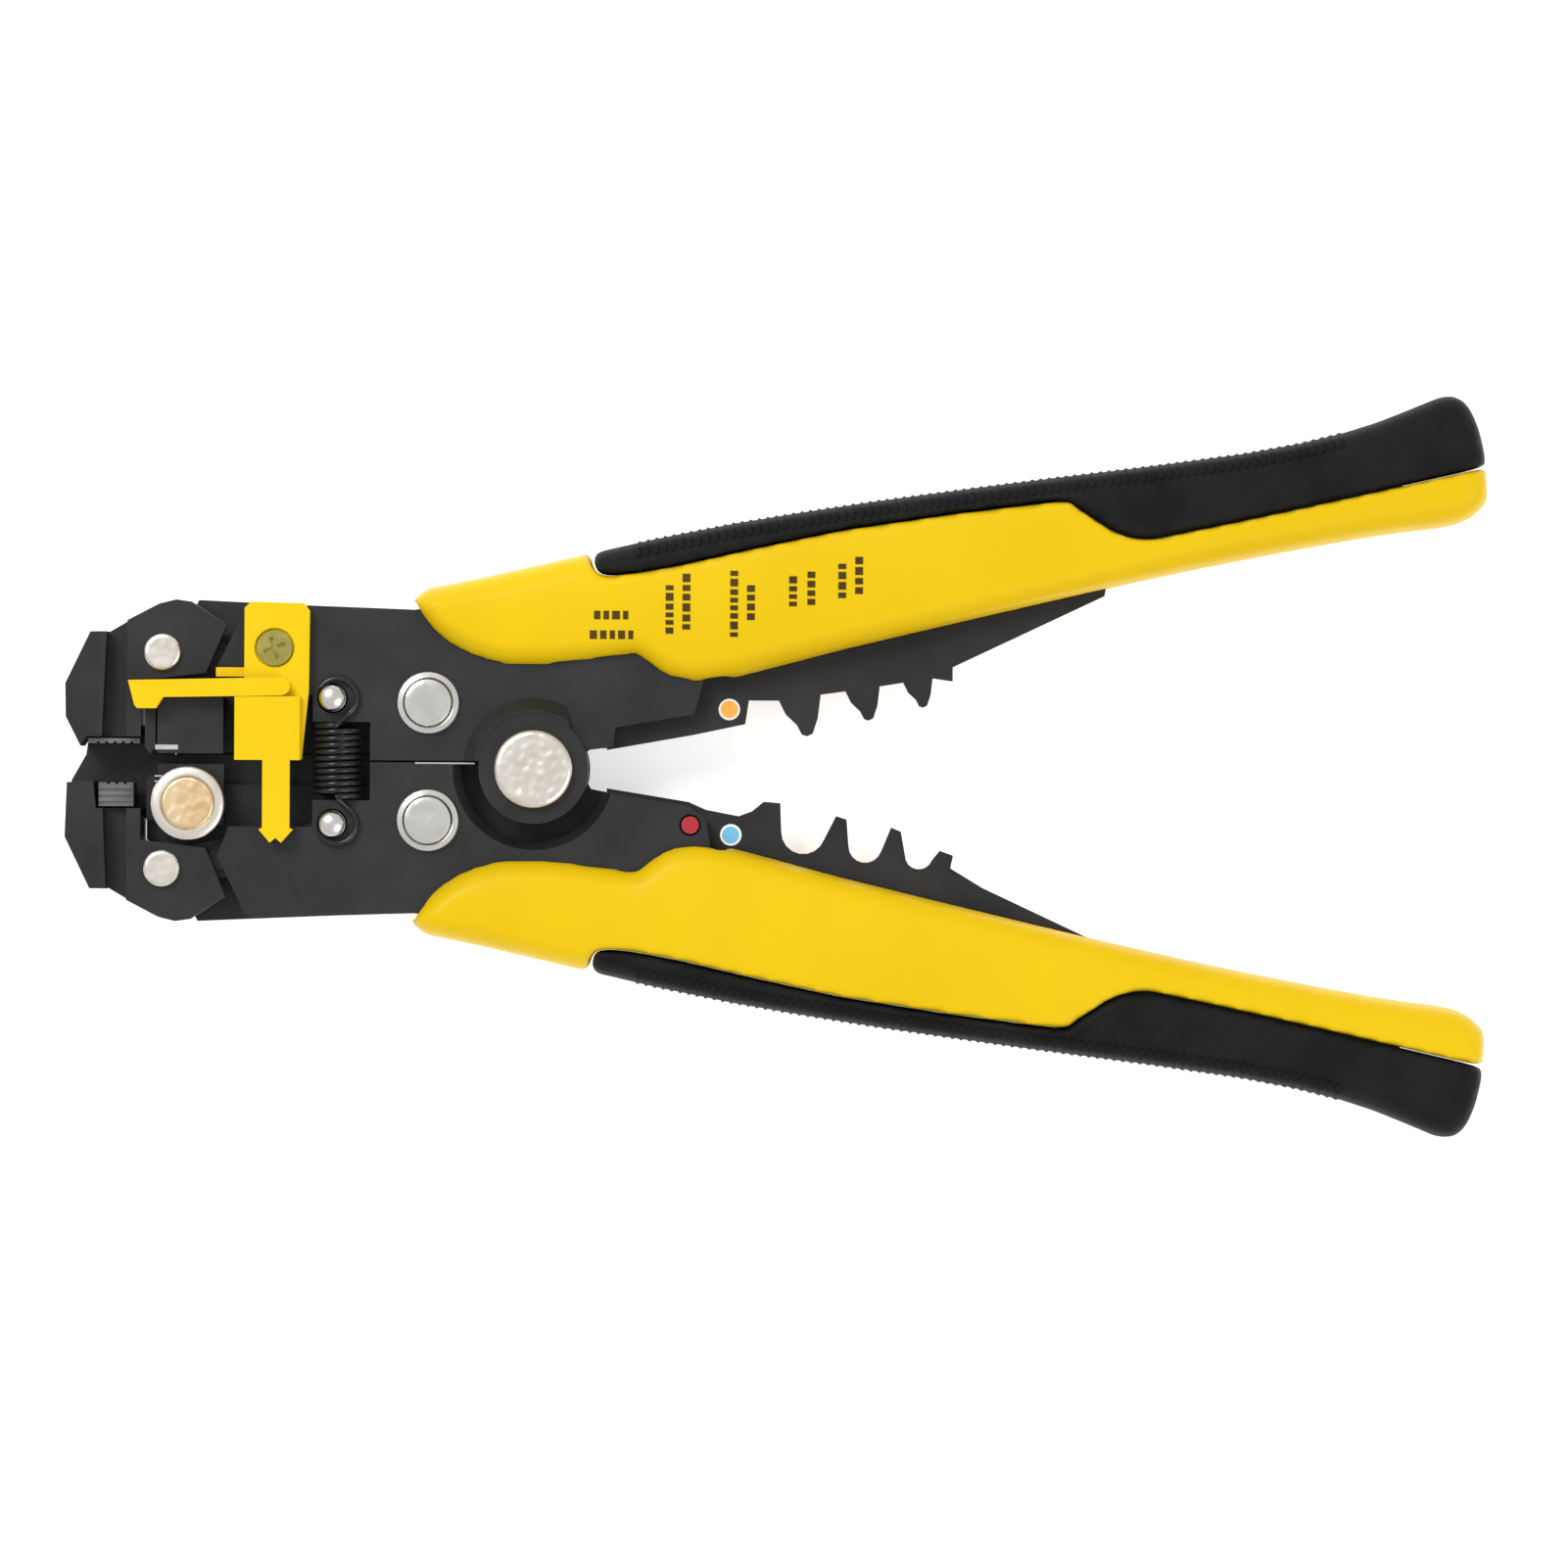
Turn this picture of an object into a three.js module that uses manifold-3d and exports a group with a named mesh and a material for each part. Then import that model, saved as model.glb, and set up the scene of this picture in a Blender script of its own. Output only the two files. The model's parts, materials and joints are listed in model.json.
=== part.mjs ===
// Self-adjusting wire stripper, lying flat and open, in millimetres.
// The origin is the main pivot on the resting surface. +X runs from the pivot to the handles' ends,
// the nose points along -X, and +Z is up through the tool's front face.
import * as THREE from 'three';
import { mergeVertices } from 'three/addons/utils/BufferGeometryUtils.js';
import Module from 'manifold-3d';

const wasm = await Module();
wasm.setup();

// ---- Driving dimensions -------------------------------------------------------------------------

const AXIS_Y = 1; // the split line between the halves lies this far above the pivot
const UPPER = 1;
const LOWER = -1;
const GAP = 0.3; // clearance between pieces that touch or run on each other
const HALF_SPLIT = 0.15;

// Layers, from the resting surface up: [bottom, top].
const GRIP_Z = [0, 18];
const BACK_Z = [3.6, 5.4];
const ARM_Z = [6.0, 8.6];
const CRIMP_Z = [7.0, 11.0];
const BAR_Z = [9.0, 11.6];
const FRONT_Z = [12.6, 14.4];
const HUB_TOP = 16.2;
const HUB_BOTTOM = 2.2;
const STOP_Z = [14.7, 16.6];
const STOP_ARM_Z = [15.8, 18.1];
const PRONG_Z = [16.7, 17.9];
const KNOB_Z = [14.7, 16.4];
const JAW_Z = [3.6, 14.4];
const CHEEK_Z = [12.4, 14.4];
const PAD_Z = [5.7, 12.8];

// Main pivot.
const RIVET_SHANK_R = 3.6;
const RIVET_HEAD_R = 5.6;
const HUB_R = 7.85;
const RECESS_R = 10.4;
const RECESS_CHAMFER = 1.2;

// Arms: the swing rivets and the nose rivets, as [x, distance from the split line].
const ARM_PIVOT = [-15.1, 8.4];
const NOSE_PIVOT = [-53.1, 15.45];
const ARM_RIVET_R = 2.6;
const NOSE_RIVET_R = 2.58;
const NOSE_SHANK_R = 1;
const SLIDE_ANGLE = Math.atan2(NOSE_PIVOT[1] - ARM_PIVOT[1], ARM_PIVOT[0] - NOSE_PIVOT[0]);
const SLIDE_TRAVEL = 9;
const GUIDE_AT = 30.2; // along the slide line from the arm rivet
const GUIDE_PIN_R = 1.2;

// Spring.
const SPRING_PIN = [-28.8, 9.0];
const SPRING_PIN_R = 1.9;
const SPRING_X = -28.1;
const SPRING_Z = 13.6;
const SPRING_COIL_R = 3.25;
const SPRING_COIL_HALF = 5.1;
const SPRING_HOOK_R = 2.8;
const SPRING_WIRE_R = 0.42;
const SPRING_TURNS = 11;
const STEPS_PER_TURN = 8;

// Tension knob and wire stop.
const KNOB = [-49.35, 6.1];
const KNOB_R = 5.3;
const KNOB_INSERT_R = 3.6;
const KNOB_SHANK_R = 1.9;
const STOP_SCREW = [-37.0, 16.1];
const STOP_TRAVEL = 3;

// Size dots, as [x, y].
const DOT_R = 1.25;
const ORANGE_DOT = [27.9, 8.7];
const RED_DOT = [22.4, -7.9];
const BLUE_DOT = [28.2, -9.3];

// Crimp plates: the male dies' tips and the nests' bottoms, as [x, distance from the pivot line].
const DIES = [
  { tip: [39.1, 4.9], scale: 1 },
  { tip: [47.9, 7.2], scale: 0.82 },
  { tip: [55.7, 9.1], scale: 0.7 },
];
const DIE_FORM = [[-4.1, 5.1], [-3.1, 3.1], [-1.5, 1.6], [-0.8, 0.25], [0.8, 0.4], [1.5, 2.6], [1.9, 6]];
const NESTS = [
  { bottom: [38.6, 12.0], radius: 3.15, tooth: [[43.3, 6.5], [44.8, 7.0]] },
  { bottom: [47.5, 13.2], radius: 2.4, tooth: [[51.2, 8.1], [52.6, 8.7]] },
  { bottom: [55.2, 14.1], radius: 2.0, tooth: [[58.2, 11.4], [60.1, 12.1]] },
];

// ---- Solids -------------------------------------------------------------------------------------

function toSolid(geometry) {
  const bare = geometry.clone();
  bare.deleteAttribute('normal');
  bare.deleteAttribute('uv');
  const merged = mergeVertices(bare, 1e-4);
  const corners = merged.index.array;
  const kept = [];
  for (let i = 0; i < corners.length; i += 3) {
    const [a, b, c] = [corners[i], corners[i + 1], corners[i + 2]];
    if (a !== b && b !== c && c !== a) kept.push(a, b, c);
  }
  return new wasm.Manifold(new wasm.Mesh({
    numProp: 3,
    vertProperties: new Float32Array(merged.attributes.position.array),
    triVerts: new Uint32Array(kept),
  }));
}

function toGeometry(solid) {
  const mesh = solid.getMesh();
  const geometry = new THREE.BufferGeometry();
  geometry.setAttribute('position', new THREE.BufferAttribute(new Float32Array(mesh.vertProperties), 3));
  geometry.setIndex(new THREE.BufferAttribute(new Uint32Array(mesh.triVerts), 1));
  geometry.computeVertexNormals();
  return geometry;
}

// A flat plate from an outline of [x, y] points.
function slab(points, [bottom, top]) {
  const shape = new THREE.Shape(points.map(([x, y]) => new THREE.Vector2(x, y)));
  const geometry = new THREE.ExtrudeGeometry(shape, { depth: top - bottom, bevelEnabled: false });
  geometry.translate(0, 0, bottom);
  return toSolid(geometry);
}

// A turned piece standing on [x, y], from a profile of [radius, z] points that starts and ends on the axis.
function turned([x, y], profile, segments = 24) {
  const geometry = new THREE.LatheGeometry(profile.map(([r, z]) => new THREE.Vector2(r, z)), segments);
  geometry.rotateX(Math.PI / 2);
  geometry.translate(x, y, 0);
  return toSolid(geometry);
}

function disc(centre, radius, [bottom, top], segments = 24) {
  return turned(centre, [[0, bottom], [radius, bottom], [radius, top], [0, top]], segments);
}

function arc([x, y], radius, from, to, steps) {
  const points = [];
  for (let i = 0; i <= steps; i += 1) {
    const angle = THREE.MathUtils.degToRad(from + ((to - from) * i) / steps);
    points.push([x + radius * Math.cos(angle), y + radius * Math.sin(angle)]);
  }
  return points;
}

// A smooth open curve through a few points, as a list of points.
function smooth(points, steps) {
  const curve = new THREE.SplineCurve(points.map(([x, y]) => new THREE.Vector2(x, y)));
  return curve.getPoints(steps).map((p) => [p.x, p.y]);
}

// Points given as [x, distance from the split line] or [x, distance from the pivot line].
const fromSplit = (side, points) => points.map(([x, d]) => [x, AXIS_Y + side * d]);
const fromPivot = (side, points) => points.map(([x, d]) => [x, side * d]);
const splitPoint = (side, point) => fromSplit(side, [point])[0];

// Points given along and across an arm's slide line: [distance from the arm rivet, offset outwards].
function fromSlide(side, points) {
  const [c, s] = [Math.cos(SLIDE_ANGLE), Math.sin(SLIDE_ANGLE)];
  return fromSplit(side, points.map(([u, v]) => [
    ARM_PIVOT[0] - u * c + v * s,
    ARM_PIVOT[1] + u * s + v * c,
  ]));
}

const cutAll = (solid, tools) => tools.reduce((rest, tool) => rest.subtract(tool), solid);
const joinAll = (solids) => solids.reduce((whole, next) => whole.add(next));
const grow = ([bottom, top], by = 1) => [bottom - by, top + by];

// ---- Finishes -----------------------------------------------------------------------------------

const finish = (colour, roughness, metalness) => () => new THREE.MeshStandardMaterial({
  color: colour, roughness, metalness,
});
const blackSteel = finish('#2b2c2e', 0.42, 0.7);
const darkSteel = finish('#1c1d1f', 0.5, 0.7);
const brightSteel = finish('#d6d3cb', 0.3, 1);
const brass = finish('#cfae78', 0.35, 1);
const yellowPlastic = finish('#f2d313', 0.42, 0);
const blackRubber = finish('#1f2123', 0.7, 0);

const wireStripper = new THREE.Group();
wireStripper.name = 'wire_stripper';

function place(name, solid, material) {
  const mesh = new THREE.Mesh(toGeometry(solid), material());
  mesh.name = name;
  wireStripper.add(mesh);
}

const sideName = (side) => (side === UPPER ? 'upper' : 'lower');

// ---- Frame --------------------------------------------------------------------------------------

// The handle's steel tang, hidden in the grip, from the head outwards and back again.
const TANG_OUTER = [[8, 25.5], [44, 32.5], [80, 38.1], [106, 42.6], [124, 45.5]];
const TANG_INNER = [[124, 38.5], [106, 34], [80, 28.3], [62, 24.3], [44, 20.3], [27, 15]];
const CUTTER_EDGE = {
  [UPPER]: [[24.2, 12.5], [22.9, 7.9], [11.7, 6], [11.3, 3.2], [8, 2.8]],
  [LOWER]: [[25.6, 12.5], [24.6, 6.9], [22, 5.2], [11.4, 3.5], [8, 2.8]],
};

function framePlate(side, layer, headOutline) {
  return slab([
    ...fromSplit(side, headOutline),
    ...fromSplit(side, [...TANG_OUTER, ...TANG_INNER]),
    ...fromPivot(side, CUTTER_EDGE[side]),
    ...fromSplit(side, [[6, HALF_SPLIT]]),
  ], layer);
}

const FRONT_HEAD = [
  [-23.4, HALF_SPLIT], [-23.4, 5.6], [-31.6, 5.6], [-31.6, 9.4], [-43.6, 9.4], [-45.2, 13.6],
  [-41.2, 21.9], [-40.0, 22.5], [-17, 21.7],
];
// The back plates part beside the split line, so that no light shows through from front to back.
const BACK_EDGE = { [UPPER]: 1 + HALF_SPLIT, [LOWER]: HALF_SPLIT - 1 };
const backHead = (side) => [
  [-12, BACK_EDGE[side]], [-55.2, BACK_EDGE[side]], [-55.2, 10.5], [-48.5, 23.1], [-17, 21.7],
];

const SPACERS = [['head', [-33.5, 19.6]], ['mid', [40, 24.5]], ['tail', [64, 27.5]]];
const SPACER_R = 1.5;

// The half that turns on the pivot's hub keeps a disc round the rivet, with a sloping flank.
function addHub(plate, side, hubZ, flankZ) {
  const flank = turned([0, 0], [
    [0, flankZ[0]], [RECESS_R, flankZ[0]], [HUB_R + 0.6, flankZ[1]], [0, flankZ[1]],
  ], 48);
  const flankSector = slab(
    fromSplit(side, [[-12, HALF_SPLIT], [6, HALF_SPLIT], [4, 12], [-12, 12]]),
    grow(GRIP_Z),
  );
  return plate.add(flank.intersect(flankSector)).add(disc([0, 0], HUB_R, hubZ, 48));
}

// The other half has a round recess for that disc, chamfered towards its outward face.
function cutRecess(plate, faceZ, outward) {
  const inside = faceZ - outward * RECESS_CHAMFER;
  const outside = faceZ + outward;
  const rimR = RECESS_R + RECESS_CHAMFER;
  const profile = [[0, inside], [RECESS_R, inside], [rimR, faceZ], [rimR, outside], [0, outside]];
  const rim = turned([0, 0], outward > 0 ? profile : profile.reverse(), 48);
  return plate.subtract(disc([0, 0], RECESS_R, grow(GRIP_Z), 48)).subtract(rim);
}

function frameHoles(side, layer) {
  return [
    disc([0, 0], RIVET_SHANK_R + GAP, grow(GRIP_Z)),
    disc(splitPoint(side, ARM_PIVOT), ARM_RIVET_R + GAP, grow(layer)),
  ];
}

function frontPlate(side) {
  let plate = framePlate(side, FRONT_Z, FRONT_HEAD);
  if (side === UPPER) {
    plate = addHub(plate, side, [FRONT_Z[0], HUB_TOP], [FRONT_Z[1] - 0.2, HUB_TOP - 0.4]);
    plate = plate.subtract(stopSlot());
  } else {
    plate = cutRecess(plate, FRONT_Z[1], 1);
    plate = plate.subtract(disc(RED_DOT, DOT_R + GAP, grow(FRONT_Z)));
  }
  return cutAll(plate, [
    ...frameHoles(side, FRONT_Z),
    disc(splitPoint(side, SPRING_PIN), SPRING_PIN_R + GAP, grow(FRONT_Z)),
  ]);
}

function backPlate(side) {
  let plate = framePlate(side, BACK_Z, backHead(side));
  if (side === LOWER) {
    plate = addHub(plate, side, [HUB_BOTTOM, BACK_Z[1]], [HUB_BOTTOM + 0.4, BACK_Z[0] + 0.2]);
  } else {
    plate = cutRecess(plate, BACK_Z[0], -1);
  }
  return cutAll(plate, frameHoles(side, BACK_Z));
}

// The slot in which the wire stop's screw slides, parallel to the split line.
function stopSlot() {
  const [x, y] = splitPoint(UPPER, STOP_SCREW);
  const radius = 1.3;
  return slab([
    ...arc([x, y], radius, -90, 90, 8),
    ...arc([x - STOP_TRAVEL, y], radius, 90, 270, 8),
  ], grow(FRONT_Z));
}

// ---- Crimp plates -------------------------------------------------------------------------------

const CRIMP_BACK = [[82.4, 29.5], [66, 30.5], [40, 28.5], [28, 21], [13.5, 9.5], [10.4, 8.4]];

function maleEdge() {
  const points = [[10.4, 2.8], [22.7, 5.0], [30.2, 6.6], [30.7, 10.0]];
  for (const die of DIES) {
    const form = [...DIE_FORM.slice(0, 4), [0, 0], ...DIE_FORM.slice(4)];
    for (const [x, d] of form) points.push([die.tip[0] + x * die.scale, die.tip[1] + d * die.scale]);
  }
  return [...points, [59.9, 12.9], [59.9, 14.9], [81.6, 25.2]];
}

function femaleEdge() {
  const points = [[10.4, 2.7], [22.1, 4.6], [24.6, 5.7], [29.3, 6.6], [31.2, 5.9], [32.9, 4.5], [35.3, 4.7]];
  for (const { bottom, radius, tooth } of NESTS) {
    const centre = [bottom[0], bottom[1] - radius];
    points.push(...arc(centre, radius, 180, 20, 8), ...tooth);
  }
  return [...points, [59.7, 13.9], [64.3, 16.7], [79.1, 23.6]];
}

function crimpPlate(side) {
  const edge = side === UPPER ? maleEdge() : femaleEdge();
  const plate = slab(fromPivot(side, [...edge, ...CRIMP_BACK]), CRIMP_Z);
  const spacerHoles = SPACERS.slice(1).map(([, at]) => (
    disc(splitPoint(side, at), SPACER_R + GAP, grow(CRIMP_Z))
  ));
  const dotHole = disc(side === UPPER ? ORANGE_DOT : BLUE_DOT, DOT_R + GAP, grow(CRIMP_Z));
  return cutAll(plate, [...spacerHoles, dotHole]);
}

function sizeDot(at, faceZ) {
  return disc(at, DOT_R, [faceZ - 1.6, faceZ + 0.15], 24);
}

// ---- Grips --------------------------------------------------------------------------------------

// Outlines as [x, distance from the split line], from the head end to the handle's end.
const GRIP_INNER_HEAD = [[-17.6, 22.9], [-12.9, 17], [-2.7, 13.5], [14.6, 15.3]];
const GRIP_INNER_TAIL = [
  [14.6, 15.3], [22.9, 11.3], [44.1, 16.3], [62.9, 20.8], [94, 28], [120, 33], [132.2, 34.8], [136.3, 38],
];
const GRIP_OUTER = [
  [136.3, 38], [135.6, 46], [133.4, 51.8], [130.2, 53.1], [125.3, 51.2], [115.9, 47.8], [100.4, 44.5],
  [69.1, 40.4], [44.1, 36.9], [21.7, 33], [-6, 26.7], [-15.4, 24.8],
];
// The line where the yellow moulding stops and the black overmould starts.
const COLOUR_LINE = [
  [8.1, 30], [8.3, 27.6], [10.6, 26.6], [20.6, 28.1], [44.1, 33.3], [73.4, 37.4], [77, 36.9],
  [82, 33.6], [86.5, 32.2], [91, 32.8], [106.5, 36.1], [119, 38.9], [135.6, 42.7],
];
const OVERMOULD_FAR_EDGE = [[142, 44], [142, 60]];
const GRIP_ROUND = { thickness: 4.2, size: 2.2 };
const TANG_POCKET = [
  [-22, 21.9], [8, 26.1], [44, 33.1], [80, 38.7], [106, 43.2], [124.6, 46.2], [124.6, 37.9],
  [106, 33.4], [80, 27.7], [62, 23.7], [44, 19.7], [27.4, 14.6], [27, 0], [-22, 0],
];
const CRIMP_POCKET = [[10, -3], [60, 5], [86, 22], [86, 31.5], [66, 32.5], [40, 31], [10, 22]];

function gripBlank(side) {
  const outline = [
    ...smooth(GRIP_INNER_HEAD, 8),
    ...smooth(GRIP_INNER_TAIL, 21).slice(1),
    ...smooth(GRIP_OUTER, 24).slice(1),
  ];
  const shape = new THREE.Shape(fromSplit(side, outline).map(([x, y]) => new THREE.Vector2(x, y)));
  const geometry = new THREE.ExtrudeGeometry(shape, {
    depth: GRIP_Z[1] - GRIP_Z[0] - 2 * GRIP_ROUND.thickness,
    bevelEnabled: true,
    bevelThickness: GRIP_ROUND.thickness,
    bevelSize: GRIP_ROUND.size,
    bevelOffset: -GRIP_ROUND.size,
    bevelSegments: 2,
  });
  geometry.translate(0, 0, GRIP_Z[0] + GRIP_ROUND.thickness);
  return toSolid(geometry);
}

function overmouldRegion(side, gap) {
  const line = smooth(COLOUR_LINE, 24).map(([x, d]) => [x, d + gap]);
  const start = [line[0][0] + gap, 60];
  const shifted = line.map(([x, d], i) => (i < 3 ? [x + gap, d] : [x, d]));
  return slab(fromSplit(side, [start, ...shifted, ...OVERMOULD_FAR_EDGE]), grow(GRIP_Z));
}

function gripPocket(side) {
  const tang = slab(fromSplit(side, TANG_POCKET), [BACK_Z[0] - GAP, FRONT_Z[1] + GAP]);
  const crimp = slab(fromSplit(side, CRIMP_POCKET), [CRIMP_Z[0] - 0.4, CRIMP_Z[1] + 0.4]);
  return tang.add(crimp);
}

function grip(side) {
  return gripBlank(side).subtract(overmouldRegion(side, 0)).subtract(gripPocket(side));
}

function overmould(side) {
  return gripBlank(side).intersect(overmouldRegion(side, GAP)).subtract(gripPocket(side));
}

// ---- Rivets and spacers -------------------------------------------------------------------------

function mainRivet() {
  return turned([0, 0], [
    [0, 0], [RIVET_HEAD_R, 0], [RIVET_HEAD_R, HUB_BOTTOM - GAP], [RIVET_SHANK_R, HUB_BOTTOM - GAP],
    [RIVET_SHANK_R, HUB_TOP + GAP], [RIVET_HEAD_R, HUB_TOP + GAP], [RIVET_HEAD_R, 17.3],
    [RIVET_HEAD_R - 0.6, 17.9], [0, 17.9],
  ], 36);
}

function pivotBush() {
  const [inner, outer] = [RIVET_SHANK_R + GAP, 5.4];
  const [low, high] = [BACK_Z[1] + GAP, FRONT_Z[0] - GAP];
  return disc([0, 0], outer, [low, high]).subtract(disc([0, 0], inner, grow([low, high])));
}

function armRivet(side) {
  const top = FRONT_Z[1] + GAP;
  return turned(splitPoint(side, ARM_PIVOT), [
    [0, 2.2], [4, 2.2], [4, BACK_Z[0] - GAP], [ARM_RIVET_R, BACK_Z[0] - GAP], [ARM_RIVET_R, top],
    [4.5, top], [4.5, top + 0.7], [3.6, top + 0.9], [3.3, top + 1.6], [0, top + 1.7],
  ], 28);
}

function springPin(side) {
  const top = FRONT_Z[1];
  return turned(splitPoint(side, SPRING_PIN), [
    [0, FRONT_Z[0] - 0.2], [SPRING_PIN_R, FRONT_Z[0] - 0.2], [SPRING_PIN_R, top + 0.3], [1.35, top + 0.4],
    [1.35, top + 1.4], [SPRING_PIN_R, top + 1.6], [1.6, top + 2.3], [0.9, top + 2.7], [0, top + 2.8],
  ]);
}

function spacer(side, at) {
  return disc(splitPoint(side, at), SPACER_R, [BACK_Z[1] + GAP, FRONT_Z[0] - GAP], 20);
}

// ---- Spring -------------------------------------------------------------------------------------

// A close coil between the two pins, with a hook of 3/4 turn round each pin.
function springPoints() {
  const points = [];
  const hookZ = FRONT_Z[1] + 0.9;
  const steps = SPRING_TURNS * STEPS_PER_TURN;
  for (let i = 0; i <= steps; i += 1) {
    const turn = (2 * Math.PI * i) / STEPS_PER_TURN;
    points.push(new THREE.Vector3(
      SPRING_X + SPRING_COIL_R * Math.sin(turn),
      AXIS_Y - SPRING_COIL_HALF + (2 * SPRING_COIL_HALF * i) / steps,
      SPRING_Z + SPRING_COIL_R * Math.cos(turn),
    ));
  }
  const hook = (side) => {
    const y = splitPoint(side, SPRING_PIN)[1];
    return [-60, -20, 20, 60, 100, 140].map((degrees) => {
      const angle = THREE.MathUtils.degToRad(degrees) * side;
      return new THREE.Vector3(
        SPRING_X + SPRING_HOOK_R * Math.cos(angle), y + SPRING_HOOK_R * Math.sin(angle), hookZ,
      );
    });
  };
  return [...hook(LOWER).reverse(), ...points, ...hook(UPPER)];
}

const springCentreline = new THREE.CatmullRomCurve3(springPoints(), false, 'centripetal');

function returnSpring() {
  const corners = arc([0, 0], SPRING_WIRE_R, 0, 300, 5).map(([x, y]) => new THREE.Vector2(x, y));
  const geometry = new THREE.ExtrudeGeometry(new THREE.Shape(corners), {
    steps: SPRING_TURNS * STEPS_PER_TURN + 22, bevelEnabled: false, extrudePath: springCentreline,
  });
  return toSolid(geometry);
}

// ---- Arms, blade carriers and blades ------------------------------------------------------------

const CARRIER_X = [-53.8, -44.4];
const BLADE_X = [-55.6, -54.1];

// Each half's own layers, so that the covers and blades of the two halves pass each other.
const CARRIER = {
  [UPPER]: { baseZ: [8.9, 12.4], baseFrom: 5.2, coverZ: [12.7, 14.4], coverFrom: 1.0 },
  [LOWER]: { baseZ: [8.9, 10.5], baseFrom: 4.2, coverZ: [10.8, 12.4], coverFrom: 0.5 },
};
const BLADE = {
  [UPPER]: { z: [12.7, 14.2], from: 0.9 },
  [LOWER]: { z: [8.9, 10.5], from: 1.9 },
};

const box = (side, [x0, x1], [d0, d1], z) => (
  slab(fromSplit(side, [[x0, d0], [x1, d0], [x1, d1], [x0, d1]]), z)
);

function arm(side) {
  const eye = arc(ARM_PIVOT, 4.9, -90, 90, 12);
  const outline = [
    ...eye, [-40, 18], [-46.6, 18], [-49, 12.4], [-55.4, 11.6], [-55.4, 3.8], [-46, 3.4], [-26, 3.6],
  ];
  return cutAll(slab(fromSplit(side, outline), ARM_Z), [
    disc(splitPoint(side, ARM_PIVOT), ARM_RIVET_R + GAP, grow(ARM_Z)),
    disc(fromSlide(side, [[GUIDE_AT, 0]])[0], GUIDE_PIN_R + GAP, grow(ARM_Z)),
  ]);
}

function carrierBase(side) {
  const { baseZ, baseFrom } = CARRIER[side];
  return box(side, CARRIER_X, [baseFrom, 9.2], baseZ);
}

function carrierCover(side) {
  const { coverZ, coverFrom } = CARRIER[side];
  const cover = box(side, CARRIER_X, [coverFrom, 9.2], coverZ);
  if (side === UPPER) return cover;
  return cover.subtract(disc(splitPoint(side, KNOB), KNOB_SHANK_R + GAP, grow(coverZ)));
}

function blade(side) {
  const { z, from } = BLADE[side];
  const middle = (BLADE_X[0] + BLADE_X[1]) / 2;
  return slab(fromSplit(side, [
    [BLADE_X[0], from + 1], [middle, from], [BLADE_X[1], from + 1], [BLADE_X[1], 8.6], [BLADE_X[0], 8.6],
  ]), z);
}

// ---- Tension knob -------------------------------------------------------------------------------

function tensionKnob() {
  const [under, face] = KNOB_Z;
  const shankFoot = CARRIER[LOWER].coverZ[0];
  const boreR = KNOB_INSERT_R + GAP;
  return turned(splitPoint(LOWER, KNOB), [
    [0, shankFoot], [KNOB_SHANK_R, shankFoot], [KNOB_SHANK_R, under], [KNOB_R, under],
    [KNOB_R, face - 0.4], [KNOB_R - 0.4, face], [boreR, face], [boreR, face - 1], [0, face - 1],
  ], 40);
}

// The insert lies in the knob's bore, with a shallow slot across it.
function knobInsert() {
  const [x, y] = splitPoint(LOWER, KNOB);
  const insert = disc([x, y], KNOB_INSERT_R, [KNOB_Z[1] - 0.7, KNOB_Z[1]], 40);
  const slot = new THREE.BoxGeometry(2 * KNOB_R, 0.5, 0.6);
  slot.rotateZ(Math.PI / 4);
  slot.translate(x, y, KNOB_Z[1]);
  return insert.subtract(toSolid(slot));
}

// ---- Nose ---------------------------------------------------------------------------------------

const JAW_OUTLINE = [
  [-67.2, 11], [-63.5, 18.4], [-60.9, 18.4], [-58, 20.1], [-53.6, 22.4], [-51.2, 23], [-49, 22.7],
  [-44, 19.4], [-46.9, 12.5], [-56.2, 11.4],
];
// Where each jaw's mouth edge runs, from the cheek round to the tip.
const MOUTH_EDGE = {
  [UPPER]: [[-56.2, 3.4], [-64.1, 3.4], [-64.9, 2], [-67.1, 6.2]],
  [LOWER]: [[-56.2, 6.9], [-62.6, 6.9], [-63, 3], [-66.9, 3.2]],
};
const PAD = {
  [UPPER]: { from: 2.4, to: 3.1, x: [-63.8, -56.4] },
  [LOWER]: { from: 3.2, to: 6.6, x: [-62.3, -57.3] },
};
// A thin floor under the mouth, on the lower jaw, which slides below the upper jaw and the back plates.
const FLAP = [[-64.2, -5], [-52, -5], [-52, 8.4], [-66.9, 8.4], [-66.9, 2.9], [-64.8, -0.8]];
const FLAP_Z = [2.4, 3.3];
// The upright groove behind the sloping front face.
const GROOVE = [[-61.9, 0], [-58.2, 0], [-58.2, 24], [-60.9, 24]];
const GROOVE_FLOOR = 10.6;
const FACET = { x: -62.2, slope: 24 };

function noseBar(side) {
  const slotR = GUIDE_PIN_R + GAP;
  const bar = slab(fromSlide(side, [[40.7, -2.6], [40.7, 2.9], [9.5, 2.9], [9.5, -2.6]]), BAR_Z);
  const slot = slab(fromSlide(side, [
    ...arc([GUIDE_AT, 0], slotR, -90, 90, 8),
    ...arc([GUIDE_AT - SLIDE_TRAVEL, 0], slotR, 90, 270, 8),
  ]), grow(BAR_Z));
  return cutAll(bar, [slot, disc(splitPoint(side, NOSE_PIVOT), NOSE_SHANK_R + GAP, grow(BAR_Z))]);
}

function guidePin(side) {
  return turned(fromSlide(side, [[GUIDE_AT, 0]])[0], [
    [0, ARM_Z[0]], [GUIDE_PIN_R, ARM_Z[0]], [GUIDE_PIN_R, BAR_Z[1] + 0.2], [1.8, BAR_Z[1] + 0.2],
    [1.8, BAR_Z[1] + 0.5], [0, BAR_Z[1] + 0.5],
  ], 20);
}

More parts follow.
